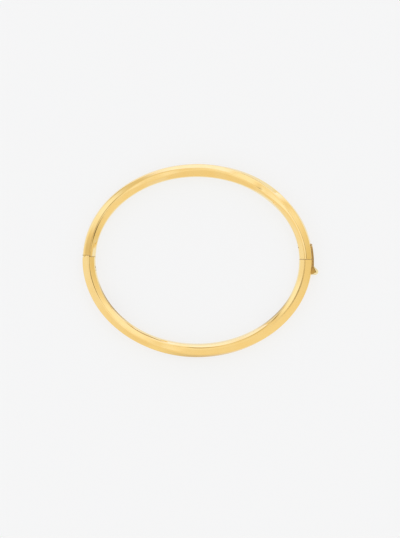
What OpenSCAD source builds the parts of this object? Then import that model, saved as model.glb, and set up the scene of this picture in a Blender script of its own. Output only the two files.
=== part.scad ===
// Twisted bangle: an oval hinged bangle of bar with soft facets that wind round
// it, in two halves.
// The bangle lies on its side. The origin is the middle of the oval, on the
// surface that it lies on. +X points at the clasp, +Z is the bangle's own axis.

/* [Oval] */
// Long inside width of the oval, hinge side to clasp side
wrist_long = 57.8; // [54:0.2:64]
// Short inside width of the oval
wrist_short = 47.3; // [44:0.2:54]

/* [Bar] */
// Thickness of the bar across its flats
bar_flats = 3.5; // [3.2:0.1:4.2]
// Rounding of the ridges between the bar's facets
ridge_round = 0.5; // [0.3:0.05:0.7]

/* [Seams] */
// Height of both seams above the middle of the oval
seam_y = 0.67; // [0.4:0.01:1]
// Width of the gap between the two halves
seam_gap = 0.1; // [0.06:0.01:0.14]

/* [Hinge] */
// Radius of the hinge's knuckles
knuckle_r = 0.45; // [0.4:0.01:0.5]
// Height of the middle knuckle
knuckle_h = 0.8; // [0.6:0.05:0.9]
// Radius of the hinge pin
pin_r = 0.2; // [0.16:0.01:0.22]
// Length of the hinge pin
pin_len = 1.7; // [1.5:0.05:1.75]
// Radial play of the pin in its bores
pin_play = 0.03; // [0.02:0.01:0.05]
// Rise of the lower half's step at the hinge
step_rise = 0.37; // [0.3:0.01:0.45]
// How far the step reaches past the bar's middle, towards the wrist
step_inset = 0.25; // [0.1:0.05:0.5]

/* [Clasp] */
// Thickness of the tongue's sheet
tongue_sheet = 0.27; // [0.22:0.01:0.3]
// Width of the tongue and of the lever's leaf
tongue_width = 1.3; // [1:0.05:1.4]
// How far the tongue's fold lies inside the upper half
fold_depth = 4.0; // [3.6:0.1:4.4]
// How deep the tongue sits in the lower half
tongue_root = 3.0; // [2:0.1:3.6]
// Thickness of the lever's leaf
leaf_sheet = 0.55; // [0.45:0.01:0.58]
// Radius of the curve that the leaf is bent to
leaf_bend = 29.0; // [27:0.5:31]
// Radius of the thumb tab's round nose
tab_nose = 0.85; // [0.75:0.05:0.9]

/* [Vents] */
// Radius of the small vent holes in the inner wall
vent_r = 0.28; // [0.2:0.02:0.34]
// Depth of the vent holes
vent_depth = 0.6; // [0.4:0.05:0.8]

/* [Hidden] */
$fn = 64;

GOLD = [0.93, 0.76, 0.38];
PALE_GOLD = [0.9, 0.74, 0.42];
DEEP_GOLD = [0.8, 0.6, 0.3];

// Where the ridges are spaced evenly, the bar is a six-sided one
HALF_SIDE = 30;
ridge_core = (bar_flats / 2 - ridge_round) / cos(HALF_SIDE);
ridge_r = ridge_core + ridge_round;

// The bar's centre line: an ellipse, as high above the floor as the ridges reach
oval_a = wrist_long / 2 + ridge_r;
oval_b = wrist_short / 2 + ridge_r;
mid_z = ridge_r;

// The ridges of each half that show from above. A facet opens like a leaf where
// two ridges that ran side by side part. A row is a section of the bar. Columns:
// its station, in degrees round the oval from the clasp, and the turn of each
// ridge from straight up towards the outside, from the inner ridge to the outer.
UPPER_RIDGES = [
    [-4, -11, -7, -3, 1, 5, 55], [5, -13, -9, -5, -1, 3, 55],
    [20, -20, -16, -12, -8, -4, 50], [33, -24, -20, -16, -12, -5, 52],
    [40, -33, -29, -25, -21, 8, 62], [50, -50, -42, -38, -34, 22, 76],
    [57, -58, -32, -28, -24, 32, 86], [65, -62, -15, -11, -7, 40, 95],
    [75, -68, 2, 6, 10, 50, 106], [85, -70, 8, 12, 18, 61, 112],
    [92, -70, 2, 7, 35, 70, 118], [97, -70, -1, 7, 44, 78, 124],
    [104, -76, -14, 16, 54, 88, 130], [110, -80, -27, 28, 62, 96, 138],
    [118, -76, -24, 33, 74, 104, 146], [130, -68, -2, 44, 92, 112, 150],
    [143, -58, 6, 52, 104, 118, 152], [155, -62, 1, 50, 104, 116, 152],
    [165, -66, -6, 50, 106, 116, 152], [173, -70, -14, 57, 113, 120, 154],
    [184, -72, -18, 59, 115, 121, 155]
];
LOWER_RIDGES = [
    [176, -66, -58, 8, 60], [183, -66, -58, 5, 60], [190, -66, -60, 1, 60],
    [198, -68, -62, 1, 58], [206, -58, -52, 4, 60], [213, -50, -44, 5, 62],
    [228, -48, -38, 3, 64], [243, -41, -28, 8, 70], [255, -35, -16, 28, 86],
    [270, -31, -12, 36, 94], [285, -26, -9, 42, 102], [295, -27, -10, 46, 106],
    [305, -32, -9, 50, 110], [315, -40, -10, 53, 112], [325, -50, -12, 55, 115],
    [340, -56, -15, 56, 115], [355, -64, -14, 55, 115], [364, -64, -14, 55, 115]
];
// Ridges on the underside, spaced evenly between the outer and the inner ridge
UPPER_HIDDEN = 4;
LOWER_HIDDEN = 3;
// Half width of the window that evens the tables' corners out, in degrees
RIDGE_BLEND = 3;
// Degrees of the oval from one section of the sweep to the next
SECTION_STEP = 3;
// How far the sweep runs past each seam before it is cut, in degrees
OVERRUN = 4;
// A length past everything, and one just past the face that a tool cuts
FAR = 60;
PAST = 1;

// Hinge axis: outwards of the bar's middle, level with the step's top
hinge_out = bar_flats / 2 - knuckle_r;
hinge_x = -oval_a - hinge_out;
hinge_y = seam_y + step_rise;
knuckle_room = knuckle_r + seam_gap / 2;
knuckle_side_gap = 0.04;
pin_end_gap = 0.03;

// Clasp: the fold's axis, outwards of the bar's middle at the seam
fold_out = 1.25;
fold_x = oval_a + fold_out;
fold_y = seam_y + fold_depth;
fold_r = 0.5;
bead_gap = 0.04;
bead_r = fold_r - tongue_sheet - bead_gap;
tongue_gap = 0.03;
// The clasp's strips lie a little above the bar's middle
clasp_rise = 0.1;
clasp_z = mid_z + clasp_rise;
// The open channel in the upper half's outer wall, round the tongue and leaf
channel_side_gap = 0.13;
channel_end_gap = 0.3;
channel_floor_gap = 0.2;
// The leaf's bend: its back's furthest place outwards of the bar's middle, the
// height of that place and of the leaf's lower end above the seam, and how far
// its upper end stops below the fold's axis
leaf_back_out = 2.32;
leaf_mid = -1.64;
leaf_end = -4.2;
leaf_short = 0.06;
leaf_back_x = oval_a + leaf_back_out;
leaf_mid_y = seam_y + leaf_mid;
leaf_end_y = seam_y + leaf_end;
leaf_top_y = fold_y - leaf_short;
bend_x = leaf_back_x - leaf_bend;
// The recess in the lower half that the leaf and the tab sink into. Columns:
// outwards of the bar's middle, and above the seam.
RECESS_FLOOR = [[1.34, 1], [1.28, -2.85], [0.85, -4.9]];
// The thumb tab: the middle of its nose, outwards of the bar's middle and
// above the seam, the top of its slope, and its toe against the bar
tab_nose_out = 2.71;
tab_nose_y = -3.5;
tab_slope_y = -1.6;
tab_toe_out = 1.5;

// Vent holes. Columns: the side that it is on (1 clasp, -1 hinge), its height
// above the middle of the oval, and its share of the full radius.
VENTS_UPPER = [[1, 4.0, 1]];
VENTS_LOWER = [[-1, -2.3, 1], [-1, -3.2, 0.7]];

function on_oval(t) = [oval_a * cos(t), oval_b * sin(t)];
function outward(t) = let (v = [oval_b * cos(t), oval_a * sin(t)]) v / norm(v);
// Station angle at a height y on the clasp side
function station_of(y) = asin(y / oval_b);

// One ridge's turn at a station, from its column of a table of ridges
function turn_at(t, table, column) = let (line = [for (row = table) [row[0], row[column]]])
    (lookup(t - RIDGE_BLEND, line) + 2 * lookup(t, line) + lookup(t + RIDGE_BLEND, line)) / 4;
function ridge_turns(t, table, hidden) = let (
    seen = [for (column = [1 : len(table[0]) - 1]) turn_at(t, table, column)],
    outer = seen[len(seen) - 1],
    gap = (360 - outer + seen[0]) / (hidden + 1)
) concat(seen, [for (k = [1 : hidden]) outer + k * gap]);

// One section's points: three on each rounded ridge, as [outwards, up]
function section(turns) = let (last = len(turns) - 1) [
    for (i = [0 : last], step = [0 : 2])
        let (here = turns[i],
             before = i > 0 ? turns[i - 1] : turns[last] - 360,
             after = i < last ? turns[i + 1] : turns[0] + 360,
             face = (before + here) / 2 + step * (after - before) / 4)
        [ridge_core * sin(here) + ridge_round * sin(face),
         ridge_core * cos(here) + ridge_round * cos(face)]
];
function ring(t, turns) = let (c = on_oval(t), n = outward(t)) [
    for (p = section(turns)) [c.x + n.x * p.x, c.y + n.y * p.x, mid_z + p.y]
];

// A half's bar from one station to another, as one closed sweep
module bar(table, hidden, from, to) {
    steps = ceil((to - from) / SECTION_STEP);
    points = 3 * (len(table[0]) - 1 + hidden);
    rings = [
        for (i = [0 : steps]) let (t = from + (to - from) * i / steps)
            each ring(t, ridge_turns(t, table, hidden))
    ];
    sides = [
        for (i = [0 : steps - 1], j = [0 : points - 1])
            let (k = (j + 1) % points, lo = i * points, hi = lo + points)
            each [[lo + j, hi + j, hi + k], [lo + j, hi + k, lo + k]]
    ];
    first_cap = [for (j = [0 : points - 1]) j];
    last_cap = [for (j = [points - 1 : -1 : 0]) steps * points + j];
    polyhedron(rings, concat([first_cap], sides, [last_cap]));
}
module upper_bar(from, to) {
    bar(UPPER_RIDGES, UPPER_HIDDEN, from, to);
}
module lower_bar(from, to) {
    bar(LOWER_RIDGES, LOWER_HIDDEN, from, to);
}

// All that lies below the seams, with the lower half's step at the hinge
module below_seams(grow) {
    translate([-FAR, -FAR, -FAR]) cube([2 * FAR, FAR + seam_y + grow, 2 * FAR]);
    step_side = -oval_a + step_inset + grow + seam_gap / 2;
    translate([-FAR, -PAST, -FAR])
        cube([FAR + step_side, PAST + hinge_y + grow, 2 * FAR]);
}

// A round bar on the hinge's axis, from one height to another about mid_z
module hinge_round(r, from, to) {
    translate([hinge_x, hinge_y, mid_z + from]) cylinder(r = r, h = to - from);
}

module pin_bore() {
    reach = pin_len / 2 + pin_end_gap;
    hinge_round(pin_r + pin_play, -reach, reach);
}

module vents(table) {
    for (vent = table) {
        t = station_of(vent[1]);
        wall = oval_a * cos(t) - bar_flats / 2;
        translate([vent[0] * (wall - PAST), vent[1], mid_z])
            rotate([0, 90 * vent[0], 0])
                cylinder(r = vent_r * vent[2], h = PAST + vent_depth);
    }
}

module upper_half() {
    color(GOLD) difference() {
        upper_bar(-OVERRUN, 180 + OVERRUN);
        difference() {
            union() {
                below_seams(seam_gap / 2);
                hinge_round(knuckle_room, -FAR, FAR);
            }
            outer_knuckles();
        }
        pin_bore();
        clasp_channel();
        vents(VENTS_UPPER);
    }
}

// The room of the two outer knuckles, which the bar fills flush
module outer_knuckles() {
    side = knuckle_h / 2 + knuckle_side_gap;
    difference() {
        union() {
            hinge_round(knuckle_r, -FAR, FAR);
            upper_web();
        }
        hinge_round(knuckle_room, -side, side);
    }
}

// The metal that joins the outer knuckles to the upper half
module upper_web() {
    translate([hinge_x - knuckle_r, hinge_y + seam_gap / 2, -FAR])
        cube([2 * knuckle_r + seam_gap, 2 * knuckle_r, 2 * FAR]);
}

module lower_half() {
    color(GOLD) difference() {
        intersection() {
            lower_bar(180 - OVERRUN, 360 + OVERRUN);
            union() {
                difference() {
                    below_seams(-seam_gap / 2);
                    hinge_round(knuckle_room, -FAR, -knuckle_h / 2);
                    hinge_round(knuckle_room, knuckle_h / 2, FAR);
                }
                hinge_round(knuckle_r, -knuckle_h / 2, knuckle_h / 2);
            }
        }
        pin_bore();
        tongue_pocket();
        leaf_recess();
        vents(VENTS_LOWER);
    }
}

module hinge_pin() {
    color(PALE_GOLD) hinge_round(pin_r, -pin_len / 2, pin_len / 2);
}

// The channel is open at the seam and at the outer wall, so the tongue and
// the leaf leave it freely when the bangle opens
module clasp_channel() {
    width = tongue_width + 2 * channel_side_gap;
    floor_x = fold_x - fold_r - channel_floor_gap;
    translate([floor_x, seam_y - PAST, clasp_z - width / 2])
        cube([FAR, PAST + fold_depth + fold_r + channel_end_gap, width]);
}

module tongue_pocket() {
    width = tongue_width + 2 * tongue_gap;
    translate([fold_x - fold_r - tongue_gap, seam_y - tongue_root - tongue_gap,
               clasp_z - width / 2])
        cube([tongue_sheet + 2 * tongue_gap, tongue_root + PAST, width]);
}

// The recess under the leaf and the tab, open at the outer wall
module leaf_recess() {
    width = tongue_width + 2 * channel_side_gap;
    floor_points = [for (p = RECESS_FLOOR) [oval_a + p.x, seam_y + p.y]];
    first = floor_points[0];
    last = floor_points[len(floor_points) - 1];
    translate([0, 0, clasp_z - width / 2]) linear_extrude(width)
        polygon(concat([[FAR, first.y]], floor_points, [[FAR, last.y]]));
}

// The tongue: a flat strip from the lower half's pocket, rolled over at its tip
module clasp_tongue() {
    color(PALE_GOLD) {
        translate([fold_x - fold_r, seam_y - tongue_root, clasp_z - tongue_width / 2])
            cube([tongue_sheet, tongue_root + fold_depth, tongue_width]);
        translate([fold_x, fold_y, clasp_z - tongue_width / 2]) difference() {
            cylinder(r = fold_r, h = tongue_width);
            translate([0, 0, -PAST])
                cylinder(r = fold_r - tongue_sheet, h = tongue_width + 2 * PAST);
            translate([-FAR, -2 * FAR, -FAR]) cube(2 * FAR);
        }
    }
}

// The lever: a bead in the tongue's roll, the leaf bent along the bar, and
// the thumb tab at its free end
module clasp_lever() {
    color(PALE_GOLD) {
        translate([fold_x, fold_y, clasp_z - tongue_width / 2])
            cylinder(r = bead_r, h = tongue_width);
        lever_neck();
        lever_leaf();
    }
    color(DEEP_GOLD) thumb_tab();
}

module lever_neck() {
    translate([fold_x - bead_r / 2, fold_y - 2 * bead_r, clasp_z - tongue_width / 2])
        cube([fold_r - bead_r / 2, 2 * bead_r - (fold_y - leaf_top_y), tongue_width]);
}

module lever_leaf() {
    top = asin((leaf_top_y - leaf_mid_y) / leaf_bend);
    end = asin((leaf_end_y - leaf_mid_y) / leaf_bend);
    translate([bend_x, leaf_mid_y, clasp_z]) rotate([0, 0, end])
        rotate_extrude(angle = top - end)
            translate([leaf_bend - leaf_sheet, -tongue_width / 2])
                square([leaf_sheet, tongue_width]);
}

// The tab: a wedge round the leaf's end, whose slope runs into a round nose
module thumb_tab() {
    nose = [oval_a + tab_nose_out, seam_y + tab_nose_y];
    foot = [leaf_back_x - leaf_sheet / 2, seam_y + tab_slope_y];
    rise = foot - nose;
    turn = acos(tab_nose / norm(rise)) + atan2(rise.x, rise.y);
    translate([0, 0, clasp_z - tongue_width / 2]) linear_extrude(tongue_width) {
        translate(nose) circle(r = tab_nose);
        polygon([
            [oval_a + tab_toe_out, nose.y - tab_nose], foot,
            nose + tab_nose * [sin(turn), cos(turn)], [nose.x, nose.y - tab_nose]
        ]);
    }
}

upper_half();
lower_half();
hinge_pin();
clasp_tongue();
clasp_lever();
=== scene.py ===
"""A twisted bangle: two hinged half-rings of softly faceted gold bar, with a sprung clasp.

The bangle lies on its side on a pale studio floor. Lengths are in metres and angles in
degrees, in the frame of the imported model: the origin is the middle of the oval on the
floor, +X points at the clasp and +Z is the bangle's own axis. A station is an angle round
the oval from the clasp, so the upper half lies between 0 and 180 degrees.
"""

import logging
import math
from collections.abc import Callable, Iterator
from contextlib import contextmanager
from dataclasses import dataclass
from enum import Enum
from typing import ClassVar

import bmesh
import bpy
from bpy.types import Material, Node, NodeSocket, Object, World
from mathutils import Matrix, Vector


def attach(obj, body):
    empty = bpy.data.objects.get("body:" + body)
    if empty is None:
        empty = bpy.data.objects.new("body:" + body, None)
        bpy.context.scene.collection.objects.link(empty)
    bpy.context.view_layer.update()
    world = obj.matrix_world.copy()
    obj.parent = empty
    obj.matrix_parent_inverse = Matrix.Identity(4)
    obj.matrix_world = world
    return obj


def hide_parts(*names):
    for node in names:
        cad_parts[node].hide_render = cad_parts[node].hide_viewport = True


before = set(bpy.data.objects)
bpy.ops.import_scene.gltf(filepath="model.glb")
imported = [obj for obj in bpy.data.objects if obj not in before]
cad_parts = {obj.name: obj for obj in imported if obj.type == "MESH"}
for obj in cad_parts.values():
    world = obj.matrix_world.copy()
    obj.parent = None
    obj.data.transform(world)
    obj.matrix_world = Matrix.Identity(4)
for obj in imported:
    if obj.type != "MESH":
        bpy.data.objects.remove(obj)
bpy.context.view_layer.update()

MM = 0.001
# Beyond every piece. Tools end at shares and multiples of it, so no two end faces coincide.
FAR = 0.1
WELD = 0.0001 * MM
log = logging.getLogger("bangle")

Colour = tuple[float, float, float]
Stops = tuple[tuple[float, float], ...]
EdgeTest = Callable[[bmesh.types.BMEdge], bool]


def clamped(value: float) -> float:
    """A value held between 0 and 1."""
    return min(1.0, max(0.0, value))


class Side(Enum):
    """The end of the oval that something is at. Its value is the sign of X there."""

    CLASP = 1
    HINGE = -1


class Join(Enum):
    """How one shape works on another."""

    FUSE = "UNION"
    CUT = "DIFFERENCE"
    KEEP = "INTERSECT"


class Bench:
    """The workbench: the modelling steps that every piece is made with."""

    ROUND_STEPS = 3

    @staticmethod
    def clear() -> None:
        """Deselects everything, as each new primitive needs."""
        if bpy.context.object and bpy.context.object.mode != "OBJECT":
            bpy.ops.object.mode_set(mode="OBJECT")
        bpy.ops.object.select_all(action="DESELECT")

    @staticmethod
    def take(piece: Object) -> None:
        """Makes a piece the only selected and the active one.

        Args:
            piece: The object that the next operators act on.
        """
        Bench.clear()
        piece.select_set(True)
        bpy.context.view_layer.objects.active = piece

    @staticmethod
    def settle(name: str) -> Object:
        """Names the active object and puts its place into its mesh.

        Args:
            name: The object's new name.

        Returns:
            The object, at the origin, unturned and unscaled.
        """
        piece = bpy.context.object
        piece.name = name
        piece.data.name = name
        bpy.ops.object.transform_apply(location=True, rotation=True, scale=True)
        return piece

    @staticmethod
    def block(name: str, low: Vector, high: Vector) -> Object:
        """Adds a box between two corners.

        Args:
            name: The box's name.
            low: Its lowest corner.
            high: Its highest corner.

        Returns:
            The box.
        """
        Bench.clear()
        bpy.ops.mesh.primitive_cube_add(size=1, location=(low + high) / 2, scale=high - low)
        return Bench.settle(name)

    @staticmethod
    def rod(name: str, foot: Vector, top: Vector, radius: float, sides: int = 64) -> Object:
        """Adds a round rod between two points.

        Args:
            name: The rod's name.
            foot: The middle of its first end.
            top: The middle of its other end.
            radius: Its radius.
            sides: How many flat sides its round is made of.

        Returns:
            The rod.
        """
        Bench.clear()
        run = top - foot
        bpy.ops.mesh.primitive_cylinder_add(
            vertices=sides, radius=radius, depth=run.length, location=(foot + top) / 2,
            rotation=run.to_track_quat("Z", "Y").to_euler(),
        )
        return Bench.settle(name)

    @staticmethod
    def tube(name: str, rings: list[list[Vector]]) -> Object:
        """Rolls a grid of faces up into a closed tube through rings of points.

        Args:
            name: The tube's name.
            rings: The tube's sections, each with the same number of points.

        Returns:
            The tube, closed at both ends.
        """
        columns, steps = len(rings[0]), len(rings) - 1
        Bench.clear()
        bpy.ops.mesh.primitive_grid_add(size=1, x_subdivisions=columns, y_subdivisions=steps)
        piece = Bench.settle(name)
        with Bench.edit(piece):
            form = bmesh.from_edit_mesh(piece.data)
            for point in form.verts:
                column = round((point.co.x + 0.5) * columns) % columns
                step = round((point.co.y + 0.5) * steps)
                point.co = rings[step][column]
            bmesh.update_edit_mesh(piece.data)
            bpy.ops.mesh.remove_doubles(threshold=WELD)
            bpy.ops.mesh.select_all(action="SELECT")
            bpy.ops.mesh.fill_holes(sides=0)
        return piece

    @staticmethod
    def plate(name: str, outline: list[Vector], thickness: float) -> Object:
        """Pulls a disc to an outline and raises it to a plate.

        Args:
            name: The plate's name.
            outline: The corners of its lower side, in order round it.
            thickness: How far it is raised.

        Returns:
            The plate.
        """
        Bench.clear()
        bpy.ops.mesh.primitive_circle_add(vertices=len(outline), radius=MM, fill_type="NGON")
        piece = Bench.settle(name)
        with Bench.edit(piece):
            form = bmesh.from_edit_mesh(piece.data)
            for point, place in zip(form.verts, outline):
                point.co = place
            bmesh.update_edit_mesh(piece.data)
            bpy.ops.mesh.extrude_region_move(TRANSFORM_OT_translate={"value": (0, 0, thickness)})
        return piece

    @staticmethod
    def work(piece: Object, tool: Object, join: Join) -> None:
        """Fuses, cuts or keeps a piece with a tool, and puts the tool away.

        Args:
            piece: The piece that is worked on.
            tool: The shape that works on it, which is removed.
            join: What is done.
        """
        Bench.take(piece)
        modifier = piece.modifiers.new(join.name, "BOOLEAN")
        modifier.operation = join.value
        modifier.solver = "EXACT"
        modifier.object = tool
        bpy.ops.object.modifier_apply(modifier=modifier.name)
        bpy.data.objects.remove(tool)

    @staticmethod
    @contextmanager
    def edit(piece: Object) -> Iterator[None]:
        """Opens a piece in edit mode, all of it selected, and closes it with its faces outwards.

        Args:
            piece: The piece to edit.
        """
        Bench.take(piece)
        bpy.ops.object.mode_set(mode="EDIT")
        bpy.ops.mesh.select_all(action="SELECT")
        yield
        bpy.ops.mesh.select_all(action="SELECT")
        bpy.ops.mesh.normals_make_consistent(inside=False)
        bpy.ops.object.mode_set(mode="OBJECT")

    @staticmethod
    def pick_edges(piece: Object, wanted: EdgeTest) -> int:
        """Selects the edges that a test wants, in edit mode.

        Args:
            piece: The piece in edit mode.
            wanted: Says of an edge whether it is selected.

        Returns:
            How many edges are selected.
        """
        bpy.ops.mesh.select_mode(type="EDGE")
        bpy.ops.mesh.select_all(action="DESELECT")
        form = bmesh.from_edit_mesh(piece.data)
        chosen = [edge for edge in form.edges if wanted(edge)]
        for edge in chosen:
            edge.select_set(True)
        form.select_flush_mode()
        bmesh.update_edit_mesh(piece.data)
        return len(chosen)

    @staticmethod
    def clean(piece: Object, merge: float) -> None:
        """Merges stray points after the cuts.

        Args:
            piece: The piece.
            merge: The distance under which points are merged.
        """
        with Bench.edit(piece):
            bpy.ops.mesh.remove_doubles(threshold=merge)
            bpy.ops.mesh.dissolve_degenerate(threshold=merge)

    @staticmethod
    def soften(piece: Object, width: float, wanted: EdgeTest) -> None:
        """Rounds off the edges that a test wants.

        Args:
            piece: The piece.
            width: How far the rounding reaches on either side.
            wanted: Says of an edge whether it is rounded.
        """
        with Bench.edit(piece):
            picked = Bench.pick_edges(piece, wanted)
            bpy.ops.mesh.bevel(offset=width, segments=Bench.ROUND_STEPS, affect="EDGES")
        log.info("%s: %d edges rounded", piece.name, picked)

    @staticmethod
    def shade(piece: Object, crease: float, full_wear: float) -> None:
        """Shades a piece smooth and marks how sharp it is at each point, for the wear.

        Args:
            piece: The piece.
            crease: The angle from which an edge stays sharp.
            full_wear: The angle from which an edge is worn fully.
        """
        Bench.take(piece)
        bpy.ops.object.shade_smooth_by_angle(angle=math.radians(crease))
        form = bmesh.new()
        form.from_mesh(piece.data)
        sharpness = [
            max((edge.calc_face_angle(0.0) for edge in point.link_edges), default=0.0)
            for point in form.verts
        ]
        form.free()
        wear = [clamped(angle / math.radians(full_wear)) for angle in sharpness]
        piece.data.attributes.new("wear", "FLOAT", "POINT").data.foreach_set("value", wear)

    @staticmethod
    def mark(piece: Object, name: str, shares: list[float]) -> None:
        """Keeps a share for each face of a piece, which its finish reads."""
        piece.data.attributes.new(name, "FLOAT", "FACE").data.foreach_set("value", shares)

    @staticmethod
    def dress(piece: Object, finish: Material) -> None:
        """Gives a piece one finish, in place of any other."""
        piece.data.materials.clear()
        piece.data.materials.append(finish)


@dataclass(frozen=True)
class RidgeTable:
    """The lines that the ridges of one half take round the bar.

    A row is a section of the bar: its station, and then the turn of each ridge that shows
    from above, from straight up towards the outside, from the inner ridge to the outer.
    The ridges on the underside are spaced evenly between the outer and the inner one.
    """

    rows: tuple[tuple[float, ...], ...]
    hidden: int
    blend: float = 3.0

    def _read(self, station: float, column: int) -> float:
        """Reads one ridge's turn, straight from row to row.

        Args:
            station: Where on the oval.
            column: The ridge's column in the table.

        Returns:
            The ridge's turn.
        """
        for low, high in zip(self.rows, self.rows[1:]):
            if station <= high[0]:
                share = max(0.0, (station - low[0]) / (high[0] - low[0]))
                return low[column] + (high[column] - low[column]) * share
        return self.rows[-1][column]

    def turns(self, station: float) -> list[float]:
        """The turns of all the ridges at a station, with the table's corners evened out.

        Args:
            station: Where on the oval.

        Returns:
            Each ridge's turn, in rising order round the section.
        """
        seen = [
            (self._read(station - self.blend, column) + 2 * self._read(station, column)
             + self._read(station + self.blend, column)) / 4
            for column in range(1, len(self.rows[0]))
        ]
        gap = (360 - seen[-1] + seen[0]) / (self.hidden + 1)
        return seen + [seen[-1] + gap * (count + 1) for count in range(self.hidden)]


@dataclass(frozen=True)
class TwistedBar:
    """The bar that both halves are made of: facets between rounded ridges, round an oval."""

    wrist_long: float = 57.8 * MM
    wrist_short: float = 47.3 * MM
    flats: float = 3.5 * MM
    ridge_round: float = 0.5 * MM
    half_side: float = 30.0
    arc_steps: int = 5
    flat_steps: int = 4
    station_step: float = 0.75

    @property
    def core(self) -> float:
        """Distance from the bar's middle to the middle of a ridge's rounding."""
        return (self.flats / 2 - self.ridge_round) / math.cos(math.radians(self.half_side))

    @property
    def mid_z(self) -> float:
        """Height of the bar's middle above the floor, as far as a ridge reaches."""
        return self.core + self.ridge_round

    @property
    def long(self) -> float:
        """Half the long axis of the bar's centre line."""
        return self.wrist_long / 2 + self.mid_z

    @property
    def short(self) -> float:
        """Half the short axis of the bar's centre line."""
        return self.wrist_short / 2 + self.mid_z

    def middle(self, station: float) -> Vector:
        """The bar's middle at a station."""
        angle = math.radians(station)
        return Vector((self.long * math.cos(angle), self.short * math.sin(angle), self.mid_z))

    def outward(self, station: float) -> Vector:
        """The direction that is outwards at a station."""
        angle = math.radians(station)
        return Vector((self.short * math.cos(angle), self.long * math.sin(angle), 0)).normalized()

    def station_of(self, place: Vector) -> float:
        """The station that a place is at, from 0 to 360."""
        return math.degrees(math.atan2(place.y / self.short, place.x / self.long)) % 360

    def section(self, turns: list[float]) -> list[tuple[float, float]]:
        """Draws the bar's section with its ridges at given turns.

        Args:
            turns: Each ridge's turn, in rising order.

        Returns:
            The section's points, each outwards and up from the bar's middle.
        """
        corners = []
        befores = [turns[-1] - 360, *turns[:-1]]
        afters = [*turns[1:], turns[0] + 360]
        for before, here, after in zip(befores, turns, afters):
            ridge = math.radians(here)
            for step in range(self.arc_steps + 1):
                share = step / self.arc_steps
                turn = here + (before - here) / 2 * (1 - share) + (after - here) / 2 * share
                face = math.radians(turn)
                corners.append((
                    self.core * math.sin(ridge) + self.ridge_round * math.sin(face),
                    self.core * math.cos(ridge) + self.ridge_round * math.cos(face),
                ))
        points = []
        for number, (out, up) in enumerate(corners):
            points.append((out, up))
            if number % (self.arc_steps + 1) == self.arc_steps:
                next_out, next_up = corners[(number + 1) % len(corners)]
                for step in range(1, self.flat_steps):
                    share = step / self.flat_steps
                    points.append((out + (next_out - out) * share, up + (next_up - up) * share))
        return points

    def sweep(self, name: str, ridges: RidgeTable, start: float, end: float) -> Object:
        """Sweeps the bar from one station to another.

        Args:
            name: The new piece's name.
            ridges: The lines that its ridges take.
            start: The first station.
            end: The last station.

        Returns:
            The swept bar, closed at both ends.
        """
        steps = round((end - start) / self.station_step)
        rings = []
        for step in range(steps + 1):
            station = start + (end - start) * step / steps
            middle, outward = self.middle(station), self.outward(station)
            rings.append([
                middle + outward * out + Vector((0, 0, up))
                for out, up in self.section(ridges.turns(station))
            ])
        return Bench.tube(name, rings)


@dataclass(frozen=True)
class HingeSizes:
    """The hinge at the oval's left end: three knuckles on an upright pin."""

    bar: TwistedBar
    seam_y: float = 0.67 * MM
    seam_gap: float = 0.03 * MM
    knuckle_r: float = 0.45 * MM
    knuckle_h: float = 0.8 * MM
    side_gap: float = 0.04 * MM
    pin_r: float = 0.23 * MM
    pin_reach: float = 0.88 * MM
    step_rise: float = 0.37 * MM
    step_inset: float = 0.25 * MM
    step_foot: float = -1.0 * MM
    swing_r: float = 0.64 * MM
    swing_side: float = 0.22 * MM

    @property
    def knuckle_room(self) -> float:
        """Radius of the room that a knuckle of the other half turns in."""
        return self.knuckle_r + self.seam_gap / 2

    @property
    def pin(self) -> Vector:
        """The pin's middle."""
        out = self.bar.flats / 2 - self.knuckle_r
        return Vector((-self.bar.long - out, self.seam_y + self.step_rise, self.bar.mid_z))

    def upright(self, radius: float, low: float, high: float) -> Object:
        """Adds a round rod on the pin's axis, from low to high about its middle."""
        foot, top = (self.pin + Vector((0, 0, level)) for level in (low, high))
        return Bench.rod("upright", foot, top, radius)

    def pin_bore(self) -> Object:
        """Adds the tool that bores the pin's hole."""
        return self.upright(self.pin_r, -self.pin_reach, self.pin_reach)

    def swing_room(self) -> Object:
        """Adds the tool that clears the lower half's outer corner for the upper half's swing.

        Returns:
            The tool.
        """
        room = self.upright(self.swing_r, -FAR * 2, FAR * 2)
        first = self.pin - Vector((FAR, FAR, FAR))
        last = self.pin + Vector((-self.swing_side, self.side_gap / 2, FAR))
        Bench.work(room, Bench.block("outside", first, last), Join.KEEP)
        return room

    def below_seams(self, grow: float) -> Object:
        """Adds a solid of all that lies under the seams, with the step at the hinge.

        Args:
            grow: How far its faces are moved outwards.

        Returns:
            The solid.
        """
        level = self.seam_y + grow
        below = Bench.block("below", Vector((-FAR, -FAR, -FAR)), Vector((FAR, level, FAR)))
        step_side = -self.bar.long + self.step_inset + grow + self.seam_gap / 2
        step_top = self.seam_y + self.step_rise + grow
        far = 0.9 * FAR
        first, last = Vector((-far, self.step_foot, -far)), Vector((step_side, step_top, far))
        step = Bench.block("step", first, last)
        Bench.work(below, step, Join.FUSE)
        return below


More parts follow.
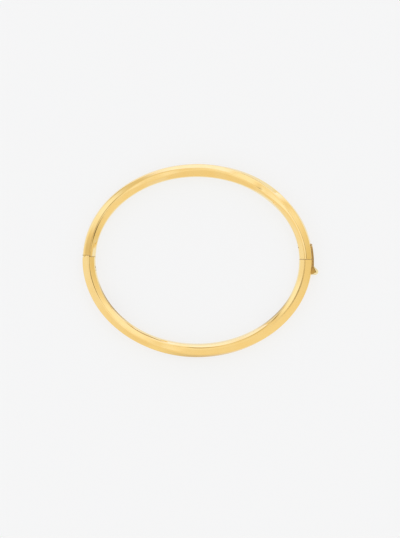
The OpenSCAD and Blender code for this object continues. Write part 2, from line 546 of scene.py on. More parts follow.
@dataclass(frozen=True)
class ClaspSizes:
    """The clasp at the oval's right end: a sprung tongue, its leaf and the thumb tab.

    Places are measured outwards of the bar's middle at the seam, and above the seam.
    """

    width: float = 1.3 * MM
    rise: float = 0.1 * MM
    tongue_sheet: float = 0.27 * MM
    tongue_root: float = 3.0 * MM
    tongue_gap: float = 0.03 * MM
    fold_depth: float = 4.0 * MM
    fold_out: float = 1.25 * MM
    fold_r: float = 0.5 * MM
    bead_gap: float = 0.04 * MM
    side_gap: float = 0.13 * MM
    end_gap: float = 0.3 * MM
    floor_gap: float = 0.2 * MM
    channel_out: float = 5.0 * MM
    pocket_up: float = 1.0 * MM
    leaf_sheet: float = 0.55 * MM
    leaf_bend: float = 29.0 * MM
    leaf_out: float = 2.32 * MM
    leaf_mid: float = -1.64 * MM
    leaf_end: float = -4.2 * MM
    leaf_short: float = 0.08 * MM
    recess_floor: tuple[tuple[float, float], ...] = (
        (1.34 * MM, 1.0 * MM), (1.28 * MM, -2.85 * MM), (0.85 * MM, -4.9 * MM),
    )
    recess_out: float = 6.0 * MM
    nose_r: float = 0.85 * MM
    nose_out: float = 2.71 * MM
    nose_y: float = -3.5 * MM
    slope_top: float = -1.6 * MM
    heel: tuple[float, float] = (1.66 * MM, -2.2 * MM)
    toe_out: float = 1.41 * MM


@dataclass(frozen=True)
class HalfRing:
    """One half of the bangle, cut from the twisted bar."""

    bar: TwistedBar
    hinge: HingeSizes
    clasp: ClaspSizes
    merge: float = 0.002 * MM
    seam_round: float = 0.08 * MM
    end_facing: float = 0.99
    crease: float = 32.0
    full_wear: float = 24.0
    flank_start: float = 0.74
    flank_blend: float = 0.08
    streak_lean: float = 0.72
    streak_blend: float = 0.2
    # Faces deeper than this under the skin are painted dark, as painted shade
    shade_depth: float = 0.18 * MM
    vent_r: float = 0.28 * MM
    vent_up: float = 0.6 * MM
    vent_lead: float = 1.0 * MM
    vent_depth: float = 0.6 * MM
    vent_sides: int = 32

    name: ClassVar[str]
    node: ClassVar[str]
    body: ClassVar[str]
    # The stations that the half is swept between, a little past its seams
    stations: ClassVar[tuple[float, float]]
    ridges: ClassVar[RidgeTable]
    # Small holes in the inner wall: end of the oval, height, and share of the full radius
    vents: ClassVar[tuple[tuple[Side, float, float], ...]]
    # Painted sheen: how much paler the steep flanks facing the wrist and away from it are painted
    sheen_inside: ClassVar[float] = 1.0
    sheen_outside: ClassVar[float] = 0.0
    # Painted reflections of shadow, dark on the steep walls:
    # side (inside is -1), first and last station, strength
    shadow_streaks: ClassVar[tuple[tuple[float, float, float, float], ...]] = ()

    def vent(self, side: Side, height: float, share: float) -> Object:
        """Adds the tool that drills a small vent hole in the inner wall.

        Args:
            side: The end of the oval that the hole is near.
            height: Its height above the middle of the oval.
            share: Its share of the full radius.

        Returns:
            The drill.
        """
        station = math.asin(height / self.bar.short)
        wall = self.bar.long * math.cos(station) - self.bar.flats / 2
        level = self.bar.mid_z + self.vent_up
        mouth = Vector((side.value * (wall - self.vent_lead), height, level))
        end = Vector((side.value * (wall + self.vent_depth), height, level))
        return Bench.rod("vent", mouth, end, self.vent_r * share, self.vent_sides)

    def clasp_box(
        self, low_x: float, low_y: float, high_x: float, high_y: float, gap: float
    ) -> Object:
        """Adds a box as wide as the clasp's strips, for cutting their room.

        Args:
            low_x: Its inner side.
            low_y: Its lower end.
            high_x: Its outer side.
            high_y: Its upper end.
            gap: The room at each side of the strips.

        Returns:
            The box.
        """
        middle = self.bar.mid_z + self.clasp.rise
        half = self.clasp.width / 2 + gap
        return Bench.block(
            "room", Vector((low_x, low_y, middle - half)), Vector((high_x, high_y, middle + half))
        )

    def on_seam_rim(self, edge: bmesh.types.BMEdge) -> bool:
        """Whether an edge lies where the bar's skin meets the seam at the clasp's end.

        Args:
            edge: An edge of the cut half.

        Returns:
            True on the rim of the half's end face.
        """
        if len(edge.link_faces) != 2 or any(p.co.x < 0 for p in edge.verts):
            return False
        level = self.hinge.seam_y
        if any(abs(p.co.y - level) > self.hinge.seam_gap for p in edge.verts):
            return False
        ends = [abs(face.normal.y) > self.end_facing for face in edge.link_faces]
        radius = [(p.co - self.bar.middle(0)).xz.length for p in edge.verts]
        return ends[0] != ends[1] and min(radius) > self.bar.flats / 2 - self.merge

    def reflected_shadow(self, station: float, facing: float) -> float:
        """How dark the painted reflection of shadow leaves a face of the bar's skin.

        Args:
            station: Where the face is.
            facing: How far it looks outwards, from -1 to 1.

        Returns:
            0 for none and 1 for the darkest painted shade.
        """
        shadow = 0.0
        for side, first, last, strength in self.shadow_streaks:
            if first < station < last:
                swell = math.sin(math.pi * (station - first) / (last - first))
                lean = clamped((facing * side - self.streak_lean) / self.streak_blend)
                shadow = max(shadow, strength * swell * lean)
        return shadow

    def mark_faces(self, piece: Object) -> None:
        """Marks each face's painted sheen and painted shade.

        The flanks get a painted sheen, paler the steeper a face is. Faces under the bar's skin, in
        the seams and the clasp's rooms, are painted dark as shade, and the walls' painted
        reflections of shadow partly so.

        Args:
            piece: The finished half.
        """
        pale, painted_dark = [], []
        for face in piece.data.polygons:
            station = self.bar.station_of(face.center)
            outward = self.bar.outward(station)
            offset = face.center - self.bar.middle(station)
            depth = self.bar.flats / 2 - math.hypot(offset.dot(outward), offset.z)
            facing = face.normal.dot(outward)
            # The steeper a face, the paler its painted sheen
            steepness = clamped((self.flank_start - abs(face.normal.z)) / self.flank_blend)
            pale.append(steepness * (self.sheen_outside if facing > 0 else self.sheen_inside))
            # Faces under the skin get painted shade; the walls get painted reflections of shadow
            painted_dark.append(1.0 if depth > self.shade_depth else self.reflected_shadow(station, facing))
        for name, shares in (("flank_sheen", pale), ("painted_dark", painted_dark)):
            Bench.mark(piece, name, shares)

    def shape(self) -> Object:
        """Cuts the half from the bar, as each half does in its own way."""
        raise NotImplementedError

    def build(self) -> Object:
        """Makes the half and hands it to its body.

        Returns:
            The finished half.
        """
        piece = self.shape()
        Bench.clean(piece, self.merge)
        Bench.soften(piece, self.seam_round, self.on_seam_rim)
        Bench.shade(piece, self.crease, self.full_wear)
        self.mark_faces(piece)
        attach(piece, self.body)
        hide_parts(self.node)
        return piece


class UpperHalf(HalfRing):
    """The half that swings open, with the outer knuckles and the clasp's channel."""

    name = "upper_ring"
    node = "upper_half"
    body = "upper"
    stations = (-4.0, 184.0)
    vents = ((Side.CLASP, 4.0 * MM, 1.0),)
    # Painted sheen on the outer flanks of this half
    sheen_outside = 0.8
    ridges = RidgeTable(
        rows=(
            (-4, -66, -11, -7, -3, 1, 5, 55), (5, -66, -13, -9, -5, -1, 3, 55),
            (20, -66, -20, -16, -12, -8, -4, 50), (33, -62, -24, -20, -16, -12, -5, 52),
            (40, -54, -33, -29, -25, -21, 8, 62), (50, -58, -52, -40, -36, -32, 22, 76),
            (57, -64, -58, -30, -26, -22, 34, 90), (65, -68, -62, -14, -10, -6, 42, 98),
            (75, -74, -68, 2, 6, 10, 50, 106), (85, -76, -70, 8, 12, 18, 61, 112),
            (92, -76, -70, 2, 12, 16, 60, 114), (97, -76, -70, -1, 11, 15, 54, 114),
            (104, -76, -68, -14, 13, 17, 52, 112), (110, -76, -64, -26, 14, 18, 51, 112),
            (118, -76, -64, -24, 9, 13, 50, 112), (125, -75, -66, -13, 6, 10, 50, 112),
            (131, -74, -67, -4, 3, 7, 51, 112), (143, -66, -58, -2, 2, 6, 50, 110),
            (155, -70, -64, -10, -6, -2, 48, 109), (165, -74, -68, -18, -14, -10, 51, 110),
            (173, -79, -73, -25, -21, -17, 53, 112), (184, -80, -74, -26, -22, -18, 54, 113),
        ),
        hidden=4,
    )

    def outer_knuckles(self) -> Object:
        """Adds the room that the two outer knuckles and their webs fill.

        Returns:
            The knuckles' solid.
        """
        hinge = self.hinge
        knuckles = hinge.upright(hinge.knuckle_r, -FAR / 2, FAR / 2)
        low = hinge.pin + Vector((-hinge.knuckle_r, hinge.seam_gap / 2, -FAR / 3))
        high = hinge.pin + Vector((hinge.knuckle_r + hinge.seam_gap, 2 * hinge.knuckle_r, FAR / 3))
        Bench.work(knuckles, Bench.block("web", low, high), Join.FUSE)
        side = hinge.knuckle_h / 2 + hinge.side_gap
        Bench.work(knuckles, hinge.upright(hinge.knuckle_room, -side, side), Join.CUT)
        return knuckles

    def shape(self) -> Object:
        """Cuts the upper half from the bar.

        Returns:
            The half, with its hinge and clasp rooms cut.
        """
        hinge, clasp, bar = self.hinge, self.clasp, self.bar
        piece = bar.sweep(self.name, self.ridges, *self.stations)
        waste = hinge.below_seams(hinge.seam_gap / 2)
        Bench.work(waste, hinge.upright(hinge.knuckle_room, -FAR / 4, FAR / 4), Join.FUSE)
        Bench.work(waste, self.outer_knuckles(), Join.CUT)
        Bench.work(waste, hinge.pin_bore(), Join.FUSE)
        floor_x = bar.long + clasp.fold_out - clasp.fold_r - clasp.floor_gap
        top_y = hinge.seam_y + clasp.fold_depth + clasp.fold_r + clasp.end_gap
        channel = self.clasp_box(floor_x, 0, bar.long + clasp.channel_out, top_y, clasp.side_gap)
        Bench.work(waste, channel, Join.FUSE)
        for vent in self.vents:
            Bench.work(waste, self.vent(*vent), Join.FUSE)
        Bench.work(piece, waste, Join.CUT)
        return piece


class LowerHalf(HalfRing):
    """The half with the middle knuckle, the hinge's step and the tongue's pocket."""

    name = "lower_ring"
    node = "lower_half"
    body = "lower"
    stations = (176.0, 364.0)
    vents = ((Side.HINGE, -2.3 * MM, 1.0), (Side.HINGE, -3.2 * MM, 0.7))
    # Painted reflections of shadow on the inner and outer walls
    shadow_streaks = ((-1, 194.0, 232.0, 1.0), (-1, 306.0, 338.0, 0.8), (1, 246.0, 292.0, 0.45))
    ridges = RidgeTable(
        rows=(
            (176, -76, -68, -60, -54, -4, 2, 60), (183, -76, -68, -60, -54, -6, 0, 60),
            (190, -76, -68, -62, -56, -8, -2, 60), (198, -78, -70, -64, -58, -10, -4, 58),
            (206, -70, -60, -54, -48, -8, -2, 60), (213, -68, -56, -50, -44, -5, 1, 62),
            (228, -64, -52, -44, -38, 1, 7, 64), (243, -59, -46, -37, -31, 7, 13, 70),
            (255, -53, -37, -30, -24, 19, 25, 80), (270, -49, -27, -18, -13, 35, 41, 94),
            (285, -48, -24, -16, -11, 41, 47, 102), (295, -49, -24, -16, -11, 45, 51, 106),
            (305, -52, -29, -20, -9, 49, 55, 110), (315, -58, -38, -28, -10, 52, 58, 112),
            (325, -64, -50, -40, -12, 54, 60, 115), (340, -72, -62, -54, -15, 55, 61, 115),
            (355, -76, -68, -60, -14, 54, 60, 115), (364, -76, -68, -60, -14, 54, 60, 115),
        ),
        hidden=3,
    )

    def recess(self) -> Object:
        """Adds the tool that cuts the recess under the leaf and the tab.

        Returns:
            The tool.
        """
        clasp, bar = self.clasp, self.bar
        first, last = clasp.recess_floor[0], clasp.recess_floor[-1]
        corners = [(clasp.recess_out, first[1]), *clasp.recess_floor, (clasp.recess_out, last[1])]
        low_z = bar.mid_z + clasp.rise - clasp.width / 2 - clasp.side_gap
        outline = [Vector((bar.long + out, self.hinge.seam_y + up, low_z)) for out, up in corners]
        return Bench.plate("recess", outline, clasp.width + 2 * clasp.side_gap)

    def shape(self) -> Object:
        """Cuts the lower half from the bar.

        Returns:
            The half, with its hinge and clasp rooms cut.
        """
        hinge, clasp, bar = self.hinge, self.clasp, self.bar
        piece = bar.sweep(self.name, self.ridges, *self.stations)
        keep = hinge.below_seams(-hinge.seam_gap / 2)
        half = hinge.knuckle_h / 2
        Bench.work(keep, hinge.upright(hinge.knuckle_room, half, FAR * 2), Join.CUT)
        Bench.work(keep, hinge.upright(hinge.knuckle_room, -FAR * 2, -half), Join.CUT)
        Bench.work(keep, hinge.swing_room(), Join.CUT)
        Bench.work(keep, hinge.upright(hinge.knuckle_r, -half, half), Join.FUSE)
        Bench.work(keep, hinge.pin_bore(), Join.CUT)
        inner_x = bar.long + clasp.fold_out - clasp.fold_r - clasp.tongue_gap
        outer_x = inner_x + clasp.tongue_sheet + 2 * clasp.tongue_gap
        root_y = hinge.seam_y - clasp.tongue_root - clasp.tongue_gap
        top_y = hinge.seam_y + clasp.pocket_up
        pocket = self.clasp_box(inner_x, root_y, outer_x, top_y, clasp.tongue_gap)
        Bench.work(keep, pocket, Join.CUT)
        Bench.work(keep, self.recess(), Join.CUT)
        for vent in self.vents:
            Bench.work(keep, self.vent(*vent), Join.CUT)
        Bench.work(piece, keep, Join.KEEP)
        return piece


@dataclass(frozen=True)
class Clasp:
    """The clasp's lever: bead, neck, bent leaf and thumb tab, all of one metal."""

    bar: TwistedBar
    hinge: HingeSizes
    sizes: ClaspSizes
    merge: float = 0.004 * MM
    edge_round: float = 0.07 * MM
    nose_bevel: float = 0.56 * MM
    # How many of its radii from the nose's middle a point may lie and be on its rim
    nose_slack: float = 1.02
    leaf_steps: int = 16
    nose_steps: int = 32
    rim_start: float = 0.985
    crease: float = 35.0
    full_wear: float = 30.0

    def place(self, out: float, up: float) -> Vector:
        """A place outwards of the bar's middle and above the seam, at the strips' foot."""
        foot_z = self.bar.mid_z + self.sizes.rise - self.sizes.width / 2
        return Vector((self.bar.long + out, self.hinge.seam_y + up, foot_z))

    @staticmethod
    def arc(middle: Vector, radius: float, first: float, last: float, steps: int) -> list[Vector]:
        """Points along an arc from one bearing to another, in radians from +X."""
        bearings = [first + (last - first) * step / steps for step in range(steps + 1)]
        return [middle + radius * Vector((math.cos(b), math.sin(b), 0)) for b in bearings]

    def leaf(self) -> Object:
        """Makes the leaf, a strip bent to a gentle curve.

        Returns:
            The leaf.
        """
        sizes = self.sizes
        bend = self.place(sizes.leaf_out - sizes.leaf_bend, sizes.leaf_mid)
        top_up = sizes.fold_depth - sizes.leaf_short
        first = math.asin((sizes.leaf_end - sizes.leaf_mid) / sizes.leaf_bend)
        last = math.asin((top_up - sizes.leaf_mid) / sizes.leaf_bend)
        outer = self.arc(bend, sizes.leaf_bend, first, last, self.leaf_steps)
        inner = self.arc(bend, sizes.leaf_bend - sizes.leaf_sheet, last, first, self.leaf_steps)
        return Bench.plate("leaf", outer + inner, sizes.width)

    def tab(self) -> Object:
        """Makes the thumb tab, a wedge with a round nose whose rims are bevelled.

        Returns:
            The tab.
        """
        sizes = self.sizes
        nose = self.place(sizes.nose_out, sizes.nose_y)
        foot = self.place(sizes.leaf_out - sizes.leaf_sheet / 2, sizes.slope_top)
        toe = self.place(sizes.toe_out, sizes.nose_y - sizes.nose_r)
        rise = foot - nose
        # The bearing at which the slope from the foot touches the nose
        touch = math.atan2(rise.y, rise.x) - math.acos(sizes.nose_r / rise.length)
        round_nose = self.arc(nose, sizes.nose_r, -math.pi / 2, touch, self.nose_steps)
        outline = [foot, self.place(*sizes.heel), toe, *round_nose]
        piece = Bench.plate("tab", outline, sizes.width)
        with Bench.edit(piece):
            Bench.pick_edges(piece, lambda edge: self.on_nose_rim(edge, nose))
            bpy.ops.mesh.bevel(offset=self.nose_bevel, segments=1, affect="EDGES")
        return piece

    def on_nose_rim(self, edge: bmesh.types.BMEdge, nose: Vector) -> bool:
        """Whether an edge lies on the rim of the tab's round nose.

        Args:
            edge: An edge of the raised tab.
            nose: The middle of the nose.

        Returns:
            True where the edge is level and on the nose's round.
        """
        first, second = (point.co for point in edge.verts)
        if abs(first.z - second.z) > self.edge_round:
            return False
        reach = self.sizes.nose_r * self.nose_slack
        return all((point - nose).xy.length < reach for point in (first, second))

    def build(self) -> Object:
        """Fuses the lever's parts and hands it to its body.

        Returns:
            The finished lever.
        """
        sizes = self.sizes
        bead_r = sizes.fold_r - sizes.tongue_sheet - sizes.bead_gap
        fold = self.place(sizes.fold_out, sizes.fold_depth)
        up = Vector((0, 0, sizes.width))
        piece = Bench.rod("lever", fold, fold + up, bead_r)
        neck_low = fold + Vector((-bead_r / 2, -2 * bead_r, 0))
        neck_high = fold + Vector((sizes.fold_r, -sizes.leaf_short, sizes.width))
        Bench.work(piece, Bench.block("neck", neck_low, neck_high), Join.FUSE)
        Bench.work(piece, self.leaf(), Join.FUSE)
        Bench.work(piece, self.tab(), Join.FUSE)
        Bench.clean(piece, self.merge)
        sharp = math.radians(self.crease)
        Bench.soften(piece, self.edge_round, lambda edge: edge.calc_face_angle(0.0) > sharp)
        Bench.shade(piece, self.crease, self.full_wear)
        # The steep rim faces get a painted sheen, paler than the rest of the lever
        pale = [1.0 if abs(face.normal.z) < self.rim_start else 0.0 for face in piece.data.polygons]
        Bench.mark(piece, "flank_sheen", pale)
        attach(piece, "lever")
        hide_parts("clasp_lever")
        return piece


@dataclass(frozen=True)
class Field:
    """A shader socket that can stand in Python arithmetic."""

    shop: "NodeShop"
    socket: NodeSocket

    def _math(self, operation: str, first: "Field | float", second: "Field | float") -> "Field":
        """Adds a Math node on two values."""
        return self.shop.read("ShaderNodeMath", {"operation": operation}, {0: first, 1: second})

    def __add__(self, other: "Field | float") -> "Field":
        """Sum of two values."""
        return self._math("ADD", self, other)

    __radd__ = __add__

    def __sub__(self, other: "Field | float") -> "Field":
        """This value less another."""
        return self._math("SUBTRACT", self, other)

    def __mul__(self, other: "Field | float") -> "Field":
        """Product of two values."""
        return self._math("MULTIPLY", self, other)

    def __lt__(self, other: float) -> "Field":
        """1 where this value is less than a number, and 0 elsewhere."""
        return self._math("LESS_THAN", self, other)

    def __abs__(self) -> "Field":
        """This value without its sign."""
        return self._math("ABSOLUTE", self, 0.0)

    def or_more(self, other: "Field") -> "Field":
        """The larger of two values."""
        return self._math("MAXIMUM", self, other)


@dataclass(frozen=True)
class Pattern:
    """A noise pattern: its spots in a millimetre, its finer layers and their strength."""

    scale: float
    detail: float
    rough: float = 0.5

    @property
    def sockets(self) -> dict[str, float]:
        """The values that a noise node takes."""
        return {"Scale": self.scale, "Detail": self.detail, "Roughness": self.rough}


@dataclass(frozen=True)
class NodeShop:
    """Makes the nodes of a material or of the world."""

    owner: Material | World

    def __post_init__(self) -> None:
        """Empties the node tree for new nodes."""
        self.owner.use_nodes = True
        self.owner.node_tree.nodes.clear()

    def node(self, kind: str, settings: dict | None = None, sockets: dict | None = None) -> Node:
        """Adds a node.

        Args:
            kind: The node's type.
            settings: What is set on the node first, with a ramp's stops under "stops".
            sockets: A value, a Field or a socket for each input, by name or number.

        Returns:
            The node.
        """
        tree = self.owner.node_tree
        node = tree.nodes.new(kind)
        for name, value in (settings or {}).items():
            if name == "stops":
                self._set_stops(node, value)
            else:
                setattr(node, name, value)
        for key, value in (sockets or {}).items():
            if isinstance(value, Field):
                tree.links.new(value.socket, node.inputs[key])
            elif isinstance(value, NodeSocket):
                tree.links.new(value, node.inputs[key])
            else:
                node.inputs[key].default_value = value
        return node

    @staticmethod
    def _set_stops(node: Node, stops: Stops) -> None:
        """Sets a ramp's stops.

        Args:
            node: The ramp.
            stops: Each stop's place and grey level.
        """
        elements = node.color_ramp.elements
        while len(elements) > 1:
            elements.remove(elements[-1])
        for number, (place, level) in enumerate(stops):
            stop = elements[0] if number == 0 else elements.new(place)
            stop.position = place
            stop.color = (level, level, level, 1)

    def read(
        self, kind: str, settings: dict | None, sockets: dict | None, output: int | str = 0
    ) -> Field:
        """Adds a node and reads one of its outputs as a value."""
        return Field(self, self.node(kind, settings, sockets).outputs[output])

    def noise(self, where: NodeSocket, pattern: Pattern) -> Field:
        """Adds a noise pattern, about 0.5, that is read at a vector."""
        return self.read("ShaderNodeTexNoise", None, {"Vector": where, **pattern.sockets}, "Fac")

    def ramp(self, value: Field, stops: Stops) -> Field:
        """Adds a ramp on a value, with a place and a grey level for each stop."""
        return self.read("ShaderNodeValToRGB", {"stops": stops}, {0: value})

    def attribute(self, name: str) -> Field:
        """Reads one of the piece's own attributes."""
        return self.read("ShaderNodeAttribute", {"attribute_name": name}, None, "Fac")

    def stretched(self, where: NodeSocket, scale: tuple[float, float, float]) -> NodeSocket:
        """Scales a vector along each axis."""
        return self.node("ShaderNodeMapping", None, {"Vector": where, "Scale": scale}).outputs[0]

    def ease(self, value: Field, zero: float, one: float) -> Field:
        """Eases a value softly from 0 to 1, from the number that gives 0 to the one for 1."""
        sockets = {"Value": value, "From Min": zero, "From Max": one}
        return self.read("ShaderNodeMapRange", {"interpolation_type": "SMOOTHSTEP"}, sockets)

    def blend(self, share: Field, low: Colour | NodeSocket, high: Colour) -> NodeSocket:
        """Mixes two colours.

        Args:
            share: 0 for the first colour and 1 for the second.
            low: The first colour, or a socket that holds it.
            high: The second colour.

        Returns:
            The mixed colour's socket.
        """
        first = low if isinstance(low, NodeSocket) else (*low, 1)
        sockets = {0: share, 6: first, 7: (*high, 1)}
        return self.node("ShaderNodeMix", {"data_type": "RGBA"}, sockets).outputs[2]


@dataclass(frozen=True)
class GoldFinish:
    """Polished, gold plated metal: soft polishing waves, hairlines, haze and worn edges."""

    name: str
    tone: Colour = (1.0, 0.71, 0.26)
    warm_tone: Colour = (1.0, 0.685, 0.23)
    worn_tone: Colour = (1.0, 0.75, 0.33)
    # The paler colour painted on steep faces, a painted sheen
    sheen_tone: Colour = (1.0, 0.83, 0.47)
    # The dark colour painted where shade falls in seams and recesses, and for reflected shadow
    shade_tone: Colour = (0.4, 0.22, 0.035)
    shade_roughness: float = 0.3
    # The seams' level, how far the step at the hinge rises, and the step's side, in mm
    seam: tuple[float, float, float] | None = None
    # How far from a seam its painted shade line starts to fade and ends, in mm
    seam_line: tuple[float, float] = (0.05, 0.14)
    # How dark the painted shade along the seams is
    seam_shade_strength: float = 0.75
    roughness: float = 0.07
    haze: float = 0.03
    wear: float = 0.5
    wave_depth: float = 0.0012 * MM
    hairline_depth: float = 0.0003 * MM
    clouds: Pattern = Pattern(0.35, 2)
    waves: Pattern = Pattern(0.9, 1)
    rubs: Pattern = Pattern(1.6, 3, 0.6)
    hairlines: Pattern = Pattern(3.0, 3, 0.7)
    hairline_stretch: tuple[float, float, float] = (6.0, 6.0, 0.6)
    haze_stops: Stops = ((0.35, 0.0), (0.7, 1.0))
    rub_stops: Stops = ((0.4, 0.0), (0.62, 1.0))

    def seam_shade(self, shop: NodeShop, spot: NodeSocket) -> Field:
        """Paints the shade in the seams as a dark line.

        Args:
            shop: The maker of the material's nodes.
            spot: The place on the piece, in millimetres.

        Returns:
            The line's strength, which is 0 away from the seams.
        """
        level, step_rise, step_side = self.seam
        place = shop.node("ShaderNodeSeparateXYZ", None, {0: spot})
        on_step = Field(shop, place.outputs["X"]) < step_side
        distance = abs(Field(shop, place.outputs["Y"]) - on_step * step_rise - level)
        fade, end = self.seam_line
        return shop.ease(distance, end, fade) * self.seam_shade_strength

    def material(self) -> Material:
        """Builds the finish.

        Returns:
            The material.
        """
        material = bpy.data.materials.new(self.name)
        shop = NodeShop(material)
        place = shop.node("ShaderNodeTexCoord").outputs["Object"]
        spot = shop.stretched(place, (1 / MM, 1 / MM, 1 / MM))
        waves = shop.noise(spot, self.waves)
        hairlines = shop.noise(shop.stretched(spot, self.hairline_stretch), self.hairlines)
        haze = shop.ramp(shop.noise(spot, self.clouds), self.haze_stops)
        rubs = shop.ramp(shop.noise(spot, self.rubs), self.rub_stops)
        worn = shop.attribute("wear") * rubs * self.wear
        height = waves * self.wave_depth + hairlines * self.hairline_depth
        depth = {"Height": height, "Strength": 1.0, "Distance": 1.0}
        # The painted sheen and the painted shade that the halves and the lever marked on their faces
        flank_sheen, painted_dark = shop.attribute("flank_sheen"), shop.attribute("painted_dark")
        # The seams' painted shade line joins the faces painted dark
        if self.seam:
            painted_dark = painted_dark.or_more(self.seam_shade(shop, spot))
        plain = shop.blend(haze, self.tone, self.warm_tone)
        plated = shop.blend(worn, shop.blend(flank_sheen, plain, self.sheen_tone), self.worn_tone)
        polish = self.roughness + haze * self.haze + (hairlines + worn - 0.5) * self.haze
        shader = shop.node(
            "ShaderNodeBsdfPrincipled", None,
            {
                "Base Color": shop.blend(painted_dark, plated, self.shade_tone),
                "Metallic": 1.0,
                "Roughness": polish + painted_dark * self.shade_roughness,
                "Normal": shop.node("ShaderNodeBump", None, depth).outputs[0],
            },
        )
        shop.node("ShaderNodeOutputMaterial", None, {"Surface": shader.outputs[0]})
        return material


@dataclass(frozen=True)
class Panel:
    """A soft patch of the light tent, brighter or darker than the cloth round it.

    Its middle is a direction, its reach the half axes of the ellipsoid that it fills
    round that direction, and its softness the share of them that fades out.
    """

    name: str
    middle: tuple[float, float, float]
    reach: tuple[float, float, float]
    softness: float
    light: Colour

    def hang(self, shop: NodeShop, toward: NodeSocket, tent: Colour | NodeSocket) -> NodeSocket:
        """Puts the panel over the tent's light.

        Args:
            shop: The maker of the world's nodes.
            toward: The direction that the light comes from.
            tent: The light before the panel is hung.

        Returns:
            The light with the panel in it.
        """
        def vector_step(operation: str, first: NodeSocket, second: tuple = (0, 0, 0)) -> Node:
            """Adds a Vector Math node on a direction."""
            return shop.node("ShaderNodeVectorMath", {"operation": operation}, {0: first, 1: second})

        offset = vector_step("SUBTRACT", toward, self.middle)
        spread = vector_step("DIVIDE", offset.outputs[0], self.reach)
        distance = Field(shop, vector_step("LENGTH", spread.outputs[0]).outputs["Value"])
        share = shop.ease(distance, 1.0, 1.0 - self.softness)
        return shop.blend(share, tent, self.light)


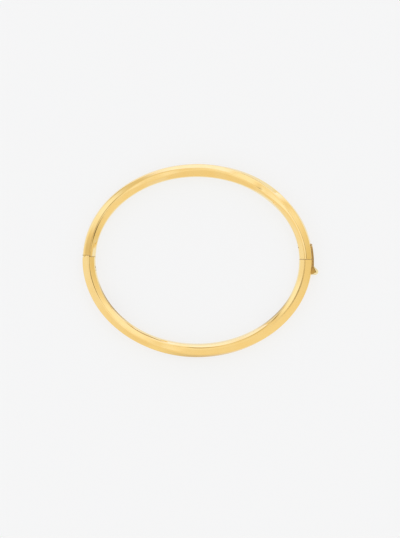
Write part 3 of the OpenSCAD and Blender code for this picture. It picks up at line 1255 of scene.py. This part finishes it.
@dataclass(frozen=True)
class Studio:
    """The pale floor, the soft light round it and the camera above it."""

    picture: tuple[int, int] = (400, 538)
    metres_per_pixel: float = 0.2843 * MM
    lens: float = 150.0
    film: float = 36.0
    roll: float = 0.75
    # What the picture's middle looks at, from the oval's middle, right and up in pixels
    aim: tuple[float, float] = (2.7, -8.65)
    floor_radius: float = 2.0
    floor_sides: int = 96
    floor_tone: Colour = (0.2, 0.2, 0.185)
    floor_roughness: float = 0.9
    floor_glow: float = 0.743
    tent: Colour = (0.92, 0.91, 0.94)
    panels: tuple[Panel, ...] = (
        Panel("front wall", (-0.1, -1.0, 0.2), (1.0, 0.75, 0.8), 1.0, (0.87, 0.84, 0.84)),
        Panel("left wall", (-1.0, -0.2, 0.3), (0.8, 0.9, 0.9), 1.0, (0.94, 1.0, 1.25)),
        Panel("right wall", (1.0, -0.05, 0.3), (0.8, 0.6, 0.8), 0.8, (0.78, 0.74, 0.62)),
        Panel("back wall", (0.1, 1.0, 0.0), (0.95, 0.7, 0.72), 0.35, (1.12, 1.24, 2.0)),
        Panel("back left wall", (-0.72, 0.5, 0.45), (0.4, 0.5, 0.4), 0.6, (1.02, 1.14, 1.5)),
        Panel("right of overhead", (0.34, 0.5, 0.8), (0.52, 0.5, 0.42), 0.6, (1.04, 1.13, 1.45)),
        Panel("left of overhead", (-0.2, -0.12, 0.97), (0.25, 0.25, 0.2), 1.0, (1.1, 1.2, 1.7)),
        Panel("overhead", (0.06, -0.02, 1.0), (0.2, 0.26, 0.12), 1.0, (1.02, 1.1, 1.4)),
        Panel("back left gap", (-0.36, 0.72, 0.58), (0.3, 0.36, 0.5), 0.9, (0.7, 0.67, 0.58)),
        Panel("back slit", (-0.05, 0.7, 0.7), (0.24, 0.14, 0.15), 0.8, (0.5, 0.42, 0.28)),
        Panel("back right slit", (0.42, 0.86, 0.26), (0.3, 0.2, 0.24), 0.7, (0.42, 0.34, 0.18)),
        Panel("low left slit", (-0.64, 0.72, 0.28), (0.24, 0.2, 0.3), 0.9, (0.42, 0.34, 0.18)),
        Panel("left gap", (-0.45, 0.14, 0.88), (0.42, 0.32, 0.3), 0.8, (0.54, 0.46, 0.31)),
        Panel("left gap's core", (-0.265, 0.12, 0.956), (0.22, 0.08, 0.12), 0.7, (0.05, 0.03, 0.01)),
        Panel("right gap", (0.36, -0.03, 0.93), (0.34, 0.36, 0.3), 0.8, (0.6, 0.54, 0.38)),
        Panel("right gap's core", (0.22, 0.02, 0.97), (0.18, 0.15, 0.12), 0.6, (0.25, 0.18, 0.08)),
        Panel("lamp stand", (0.35, -0.15, 0.92), (0.22, 0.09, 0.12), 0.6, (0.06, 0.04, 0.01)),
    )

    def camera(self, bar: TwistedBar) -> None:
        """Sets the camera straight above the bangle.

        Args:
            bar: The bar, whose mid height the picture's scale holds at.
        """
        height = self.picture[1] * self.metres_per_pixel * self.lens / self.film
        turn = Matrix.Rotation(math.radians(self.roll), 3, "Z")
        aim = turn @ Vector((*self.aim, 0)) * self.metres_per_pixel
        data = bpy.data.cameras.new("camera")
        data.lens = self.lens
        data.sensor_width = self.film
        camera = bpy.data.objects.new("camera", data)
        camera.location = (aim.x, aim.y, bar.mid_z + height)
        camera.rotation_euler = turn.to_euler()
        bpy.context.scene.collection.objects.link(camera)
        bpy.context.scene.camera = camera

    def floor(self) -> None:
        """Lays the pale floor."""
        Bench.clear()
        bpy.ops.mesh.primitive_circle_add(
            vertices=self.floor_sides, radius=self.floor_radius, fill_type="NGON"
        )
        floor = Bench.settle("floor")
        material = bpy.data.materials.new("pale_floor")
        shop = NodeShop(material)
        matt = shop.node(
            "ShaderNodeBsdfPrincipled", None,
            {
                "Base Color": (*self.floor_tone, 1),
                "Roughness": self.floor_roughness,
                "Specular IOR Level": 0.0,
                "Emission Color": (1, 1, 1, 1),
                "Emission Strength": self.floor_glow,
            },
        )
        shop.node("ShaderNodeOutputMaterial", None, {"Surface": matt.outputs[0]})
        Bench.dress(floor, material)

    def dome(self) -> None:
        """Lights the scene from a soft tent with its panels."""
        world = bpy.data.worlds.new("tent")
        bpy.context.scene.world = world
        shop = NodeShop(world)
        toward = shop.node("ShaderNodeTexCoord").outputs["Generated"]
        light: Colour | NodeSocket = self.tent
        for panel in self.panels:
            light = panel.hang(shop, toward, light)
            log.info("hung the %s", panel.name)
        sky = shop.node("ShaderNodeBackground", None, {"Color": light})
        shop.node("ShaderNodeOutputWorld", None, {"Surface": sky.outputs[0]})

    def build(self, bar: TwistedBar) -> None:
        """Sets the studio up.

        Args:
            bar: The bangle's bar, which the camera is set to.
        """
        self.camera(bar)
        self.floor()
        self.dome()
        bpy.context.scene.view_settings.view_transform = "Standard"


def main() -> None:
    """Builds the bangle and its studio."""
    logging.basicConfig(level=logging.INFO, format="%(name)s: %(message)s")
    bar = TwistedBar()
    hinge = HingeSizes(bar)
    clasp = ClaspSizes()
    Studio().build(bar)
    step_side = (hinge.step_inset - bar.long) / MM
    seam = (hinge.seam_y / MM, hinge.step_rise / MM, step_side)
    bar_gold = GoldFinish("bar_gold", seam=seam).material()
    # The clasp's darker tones are painted shade: its lever is the bar's gold, darkened for the shade
    # it lies in
    clasp_gold = GoldFinish(
        "clasp_gold", tone=(0.62, 0.36, 0.075), warm_tone=(0.52, 0.28, 0.07),
        worn_tone=(0.7, 0.46, 0.13), sheen_tone=(1.0, 0.86, 0.5), roughness=0.18,
    ).material()
    pin_gold = GoldFinish("pin_gold", roughness=0.2).material()
    makers = (
        (UpperHalf(bar, hinge, clasp), bar_gold),
        (LowerHalf(bar, hinge, clasp), bar_gold),
        (Clasp(bar, hinge, clasp), clasp_gold),
    )
    for maker, finish in makers:
        piece = maker.build()
        Bench.dress(piece, finish)
        log.info("%s: %d faces", piece.name, len(piece.data.polygons))
    for node, finish in (("clasp_tongue", clasp_gold), ("hinge_pin", pin_gold)):
        Bench.dress(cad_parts[node], finish)
        log.info("%s keeps its shape", node)


if __name__ == "__main__":
    main()
